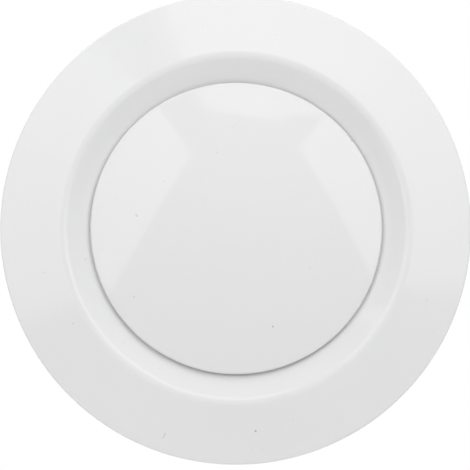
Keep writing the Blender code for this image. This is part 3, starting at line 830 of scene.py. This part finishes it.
class Paint:
    """A node material on one Principled shader, patterned by the piece's own coordinates."""

    def __init__(self, name, colour, roughness, metallic=0.0):
        self.material = bpy.data.materials.new(name)
        self.material.use_nodes = True
        self.tree = self.material.node_tree
        self.shader = self.tree.nodes["Principled BSDF"]
        self.shader.inputs["Metallic"].default_value = metallic
        self.place = self.add("ShaderNodeTexCoord").outputs["Object"]
        self.colour = (*colour, 1.0)
        self.roughness = roughness
        self.height = None

    def add(self, kind, **settings):
        """Adds a node and sets its properties."""
        node = self.tree.nodes.new(kind)
        for name, value in settings.items():
            setattr(node, name, value)
        return node

    def feed(self, socket, value):
        """Links a value to a socket, or sets it there."""
        if isinstance(value, bpy.types.NodeSocket):
            self.tree.links.new(value, socket)
        else:
            socket.default_value = value

    def maths(self, operation, a, b):
        """One Math node."""
        node = self.add("ShaderNodeMath", operation=operation)
        self.feed(node.inputs[0], a)
        self.feed(node.inputs[1], b)
        return node.outputs[0]

    def noise(self, size, detail=3.0, stretch=(1.0, 1.0, 1.0), seed=0.0):
        """Noise from 0 to 1, with features about this many metres across."""
        mapping = self.add("ShaderNodeMapping")
        self.feed(mapping.inputs["Vector"], self.place)
        mapping.inputs["Location"].default_value = [seed * step for step in SEED_STEP]
        mapping.inputs["Scale"].default_value = [s / size for s in stretch]
        node = self.add("ShaderNodeTexNoise")
        self.feed(node.inputs["Vector"], mapping.outputs[0])
        node.inputs["Scale"].default_value = 1.0
        node.inputs["Detail"].default_value = detail
        return node.outputs["Fac"]

    def ramp(self, value, low, high):
        """0 at low and 1 at high, with a gentle step between."""
        node = self.add("ShaderNodeMapRange", interpolation_type="SMOOTHSTEP", clamp=True)
        self.feed(node.inputs["Value"], value)
        node.inputs["From Min"].default_value = low
        node.inputs["From Max"].default_value = high
        return node.outputs[0]

    def flat(self):
        """The place as seen along the valve's axis."""
        node = self.add("ShaderNodeVectorMath", operation="MULTIPLY")
        self.feed(node.inputs[0], self.place)
        node.inputs[1].default_value = (1.0, 0.0, 1.0)
        return node.outputs[0]

    def across(self):
        """Distance from the valve's axis."""
        length = self.add("ShaderNodeVectorMath", operation="LENGTH")
        self.feed(length.inputs[0], self.flat())
        return length.outputs["Value"]

    def spot(self, x, z, radius):
        """1 inside a small round spot, seen along the axis."""
        away = self.add("ShaderNodeVectorMath", operation="DISTANCE")
        self.feed(away.inputs[0], self.flat())
        away.inputs[1].default_value = (x, 0.0, z)
        return self.ramp(away.outputs["Value"], radius * SPOT_OUTSIDE, radius * SPOT_CORE)

    def tint(self, mask, colour, strength=1.0):
        """Mixes a colour in where the mask is 1."""
        node = self.add("ShaderNodeMix", data_type="RGBA")
        sockets = {s.identifier: s for s in node.inputs}
        self.feed(sockets["Factor_Float"], self.maths("MULTIPLY", mask, strength))
        self.feed(sockets["A_Color"], self.colour)
        sockets["B_Color"].default_value = (*colour, 1.0)
        self.colour = node.outputs[2]

    def roughen(self, mask, amount):
        """Adds to the roughness where the mask is 1."""
        more = self.maths("MULTIPLY", mask, amount)
        self.roughness = self.maths("ADD", more, self.roughness)

    def lift(self, mask, metres):
        """Adds to the bump height."""
        more = self.maths("MULTIPLY", mask, metres)
        self.height = more if self.height is None else self.maths("ADD", more, self.height)

    def done(self):
        """Connects what was gathered and returns the material."""
        self.feed(self.shader.inputs["Base Color"], self.colour)
        self.feed(self.shader.inputs["Roughness"], self.roughness)
        if self.height is not None:
            bump = self.add("ShaderNodeBump")
            bump.inputs["Strength"].default_value = 1.0
            bump.inputs["Distance"].default_value = 1.0
            self.feed(bump.inputs["Height"], self.height)
            self.feed(self.shader.inputs["Normal"], bump.outputs[0])
        return self.material


def glossy_plastic(name, specks, seed):
    """White moulded plastic, duller outside the crest, with faint flow marks and dust."""
    paint = Paint(name, WHITE, roughness=0.04)
    flow = paint.noise(size=0.030, detail=2.0, stretch=(1.0, 1.0, 0.5), seed=seed)
    paint.tint(paint.ramp(flow, low=0.35, high=0.70), FLOW_MARK, strength=0.5)
    paint.roughen(paint.noise(size=0.012, seed=seed + 3.0), amount=0.02)
    dull_from = crest_radius + CREST_ROUNDING / 2
    outside = paint.ramp(paint.across(), low=dull_from, high=dull_from + CREST_ROUNDING)
    paint.roughen(outside, amount=0.06)
    paint.lift(paint.noise(size=0.0011, detail=2.0, seed=seed), metres=3e-7)
    paint.lift(paint.noise(size=0.016, detail=1.0, seed=seed + 7.0), metres=9e-6)
    grains = paint.noise(size=0.0012, detail=1.0, seed=seed + 11.0)
    paint.tint(paint.ramp(grains, low=0.79, high=0.82), GLOSS_DUST, strength=0.5)
    for x, z, radius, strength in specks:
        mask = paint.spot(x, z, radius)
        paint.tint(mask, SPECK, strength)
        paint.lift(mask, metres=2e-5)
    return paint.done()


def satin_plastic(name, colour, roughness, seed):
    """Satin moulded plastic with a fine spark-eroded texture."""
    paint = Paint(name, colour, roughness)
    shade_colour = tuple(c * SATIN_SHADE for c in colour)
    clouds = paint.noise(size=0.020, seed=seed)
    paint.tint(paint.ramp(clouds, low=0.35, high=0.70), shade_colour, strength=0.7)
    paint.lift(paint.noise(size=0.0003, detail=2.0, seed=seed + 1.0), metres=2.5e-6)
    paint.roughen(paint.noise(size=0.004, seed=seed + 2.0), amount=0.10)
    grains = paint.noise(size=0.0016, detail=1.0, seed=seed + 5.0)
    paint.tint(paint.ramp(grains, low=0.76, high=0.80), SATIN_DUST, strength=0.5)
    return paint.done()


def nylon(name, seed):
    """Natural nylon, slightly warm, with turned rings."""
    paint = Paint(name, NYLON, roughness=0.38)
    rings = paint.add("ShaderNodeMath", operation="SINE")
    paint.feed(rings.inputs[0], paint.maths("MULTIPLY", paint.across(), math.tau / TURNED_RING))
    paint.lift(rings.outputs[0], metres=1.2e-6)
    paint.tint(paint.noise(size=0.003, seed=seed), NYLON_CLOUD, strength=0.4)
    return paint.done()


def foam(name):
    """Closed-cell foam with open pores on its cut faces, with shade painted into the pores'
    hollows.
    """
    paint = Paint(name, FOAM, roughness=0.92)
    cells = paint.add("ShaderNodeTexVoronoi")
    paint.feed(cells.inputs["Vector"], paint.place)
    cells.inputs["Scale"].default_value = 1.0 / FOAM_CELL
    distance = cells.outputs["Distance"]
    paint.lift(paint.ramp(distance, low=0.15, high=0.75), metres=9e-5)
    # Painted shade: the pores' hollows are darkened in the colour
    paint.tint(paint.ramp(distance, low=0.35, high=0.10), PAINTED_PORE_SHADE, strength=0.7)
    paint.tint(paint.noise(size=0.006, detail=2.0), FOAM_CLOUD, strength=0.5)
    return paint.done()


def rubber(name):
    """Black rubber with a dull bloom and fine mould grain."""
    paint = Paint(name, RUBBER, roughness=0.50)
    bloom = paint.noise(size=0.009, detail=4.0)
    paint.tint(paint.ramp(bloom, low=0.45, high=0.75), RUBBER_BLOOM, strength=0.7)
    paint.roughen(paint.noise(size=0.002), amount=0.22)
    paint.lift(paint.noise(size=0.0004, detail=2.0), metres=6e-6)
    return paint.done()


def spring_steel(name):
    """Bright rolled spring steel: drawn lines along the strip and a few dull patches."""
    paint = Paint(name, STEEL, roughness=0.26, metallic=1.0)
    lines = paint.noise(size=0.00025, stretch=(1.0, 0.03, 1.0))
    paint.lift(lines, metres=1.6e-6)
    paint.roughen(lines, amount=0.16)
    patches = paint.noise(size=0.003, detail=4.0)
    paint.tint(paint.ramp(patches, low=0.50, high=0.80), STEEL_DULL, strength=0.6)
    return paint.done()


def aluminium(name):
    """Plain rivet aluminium, a little grey from handling."""
    paint = Paint(name, ALUMINIUM, roughness=0.30, metallic=1.0)
    paint.lift(paint.noise(size=0.0004), metres=3e-6)
    paint.roughen(paint.noise(size=0.001), amount=0.18)
    patches = paint.noise(size=0.0008)
    paint.tint(paint.ramp(patches, low=0.50, high=0.80), ALUMINIUM_DULL, strength=0.6)
    return paint.done()


# Dressing

def dress(piece, node, body, surface):
    """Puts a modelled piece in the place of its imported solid."""
    normals = piece.modifiers.new("even_normals", "WEIGHTED_NORMAL")
    normals.keep_sharp = True
    piece.data.materials.clear()
    piece.data.materials.append(surface)
    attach(piece, body)
    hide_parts(node)


steel = spring_steel("spring_steel")
rivet_metal = aluminium("rivet_aluminium")
nut_white = satin_plastic("nut_white", NUT_WHITE, roughness=0.36, seed=31.0)
washer_white = nylon("washer_nylon", seed=41.0)
fixed = "valve_body"
moving = "disc_and_spindle"
dress(make_housing(), "housing", fixed,
      glossy_plastic("housing_white", HOUSING_SPECKS, seed=2.0))
dress(make_gasket(), "flange_gasket", fixed, foam("gasket_foam"))
dress(make_ring(), "mounting_ring", fixed,
      satin_plastic("ring_white", RING_WHITE, roughness=0.40, seed=17.0))
dress(make_seal(), "ring_lip_seal", fixed, rubber("seal_rubber"))
for number, angle in enumerate(clip_angles, 1):
    dress(make_clip(number, angle), f"spring_clip_{number}", fixed, steel)
    dress(make_rivet(number, angle), f"clip_rivet_{number}", fixed, rivet_metal)
dress(make_ring_piece("nylon_lock_washer", "lock_washer", washer, EDGE_BREAK),
      "lock_washer", fixed, washer_white)
dress(make_ring_piece("finger_lock_nut", "lock_nut", lobes, NUT_CHAMFER),
      "lock_nut", fixed, nut_white)
dress(make_ring_piece("nylon_disc_washer", "disc_washer", washer, EDGE_BREAK),
      "disc_washer", "travelling_washer", washer_white)
dress(make_ring_piece("hexagon_disc_nut", "disc_nut", hexagon, NUT_CHAMFER),
      "disc_nut", moving, nut_white)
dress(make_disc(), "disc", moving,
      glossy_plastic("disc_white", DISC_SPECKS, seed=5.0))
dress(make_spindle(), "spindle", moving,
      satin_plastic("spindle_white", SPINDLE_WHITE, roughness=0.34, seed=23.0))
dress(make_stop_clip(), "stop_clip", moving, steel)


# Camera, light and floor

def add_camera():
    """Camera a little below the valve's axis, as in the photograph."""
    lens = bpy.data.cameras.new("camera")
    lens.lens = LENS
    lens.sensor_width = SENSOR
    lens.clip_start = CLIP_START
    camera = bpy.data.objects.new("camera", lens)
    camera.location = CAMERA_PLACE
    camera.rotation_euler = (AIM - CAMERA_PLACE).to_track_quat("-Z", "Y").to_euler()
    bpy.context.collection.objects.link(camera)
    bpy.context.scene.camera = camera


def add_world():
    """Soft room light, mostly from above and below, on a white background."""
    world = bpy.data.worlds.new("studio")
    world.use_nodes = True
    bpy.context.scene.world = world
    tree = world.node_tree
    nodes, links = tree.nodes, tree.links
    light = nodes["Background"]
    direction = nodes.new("ShaderNodeTexCoord")
    split = nodes.new("ShaderNodeSeparateXYZ")
    links.new(direction.outputs["Generated"], split.inputs[0])
    depth = nodes.new("ShaderNodeMapRange")
    depth.interpolation_type = "SMOOTHSTEP"
    links.new(split.outputs["Y"], depth.inputs["Value"])
    depth.inputs["From Min"].default_value = -SKY_BLEND
    depth.inputs["From Max"].default_value = SKY_BLEND
    depth.inputs["To Min"].default_value = FRONT_SKY
    depth.inputs["To Max"].default_value = BACK_SKY
    total = depth.outputs[0]
    for elevation, turn, strength in SKY_LIGHTS:
        facing = nodes.new("ShaderNodeVectorMath")
        facing.operation = "DOT_PRODUCT"
        links.new(direction.outputs["Generated"], facing.inputs[0])
        sideways = math.cos(elevation)
        facing.inputs[1].default_value = (
            sideways * math.sin(turn), -sideways * math.cos(turn), math.sin(elevation),
        )
        glow = nodes.new("ShaderNodeMapRange")
        glow.interpolation_type = "SMOOTHSTEP"
        links.new(facing.outputs["Value"], glow.inputs["Value"])
        glow.inputs["From Min"].default_value = SKY_LIGHT_SPREAD
        glow.inputs["To Max"].default_value = strength
        added = nodes.new("ShaderNodeMath")
        links.new(total, added.inputs[0])
        links.new(glow.outputs[0], added.inputs[1])
        total = added.outputs[0]
    links.new(total, light.inputs["Strength"])
    light.inputs["Color"].default_value = WHITE_LIGHT
    backdrop = nodes.new("ShaderNodeBackground")
    backdrop.inputs["Color"].default_value = WHITE_LIGHT
    backdrop.inputs["Strength"].default_value = 1.0
    path = nodes.new("ShaderNodeLightPath")
    seen = path.outputs["Is Camera Ray"]
    for ray in ("Is Glossy Ray", "Is Transmission Ray"):
        either = nodes.new("ShaderNodeMath")
        either.operation = "MAXIMUM"
        links.new(seen, either.inputs[0])
        links.new(path.outputs[ray], either.inputs[1])
        seen = either.outputs[0]
    mix = nodes.new("ShaderNodeMixShader")
    links.new(seen, mix.inputs[0])
    links.new(light.outputs[0], mix.inputs[1])
    links.new(backdrop.outputs[0], mix.inputs[2])
    links.new(mix.outputs[0], nodes["World Output"].inputs["Surface"])


def add_floor():
    """Pale floor under the valve, which takes its shadow."""
    mesh = bpy.data.meshes.new("floor")
    corners = [(-1, -1), (1, -1), (1, 1), (-1, 1)]
    mesh.from_pydata(
        [(FLOOR_HALF * x, FLOOR_HALF * y, FLOOR_LEVEL) for x, y in corners], [], [(0, 1, 2, 3)],
    )
    floor = bpy.data.objects.new("floor", mesh)
    bpy.context.collection.objects.link(floor)
    paint = Paint("floor_paper", FLOOR_PAPER, roughness=0.90)
    paint.tint(paint.noise(size=0.15, detail=2.0), FLOOR_CLOUD, strength=0.5)
    mesh.materials.append(paint.done())
    floor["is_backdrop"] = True


def add_panel(name, strength, corners):
    """A softbox in a plane in front of the valve, which the camera doesn't see."""
    mesh = bpy.data.meshes.new(name)
    points = [(x, -PANEL_DISTANCE, z) for x, z in corners]
    mesh.from_pydata(points, [], [tuple(range(len(points)))])
    panel = bpy.data.objects.new(name, mesh)
    bpy.context.collection.objects.link(panel)
    glow = bpy.data.materials.new(name)
    glow.use_nodes = True
    shader = glow.node_tree.nodes["Principled BSDF"]
    shader.inputs["Base Color"].default_value = (0.0, 0.0, 0.0, 1.0)
    shader.inputs["Emission Color"].default_value = WHITE_LIGHT
    shader.inputs["Emission Strength"].default_value = strength
    mesh.materials.append(glow)
    panel.visible_camera = False
    panel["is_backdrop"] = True


add_camera()
add_world()
add_floor()
for name, (strength, corners) in PANELS.items():
    add_panel(name, strength, corners)
bpy.context.scene.view_settings.view_transform = "Standard"

sizes = {"cad": cad_bounds, "visual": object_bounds()}
sizes = {name: [list(corner) for corner in corners] for name, corners in sizes.items()}
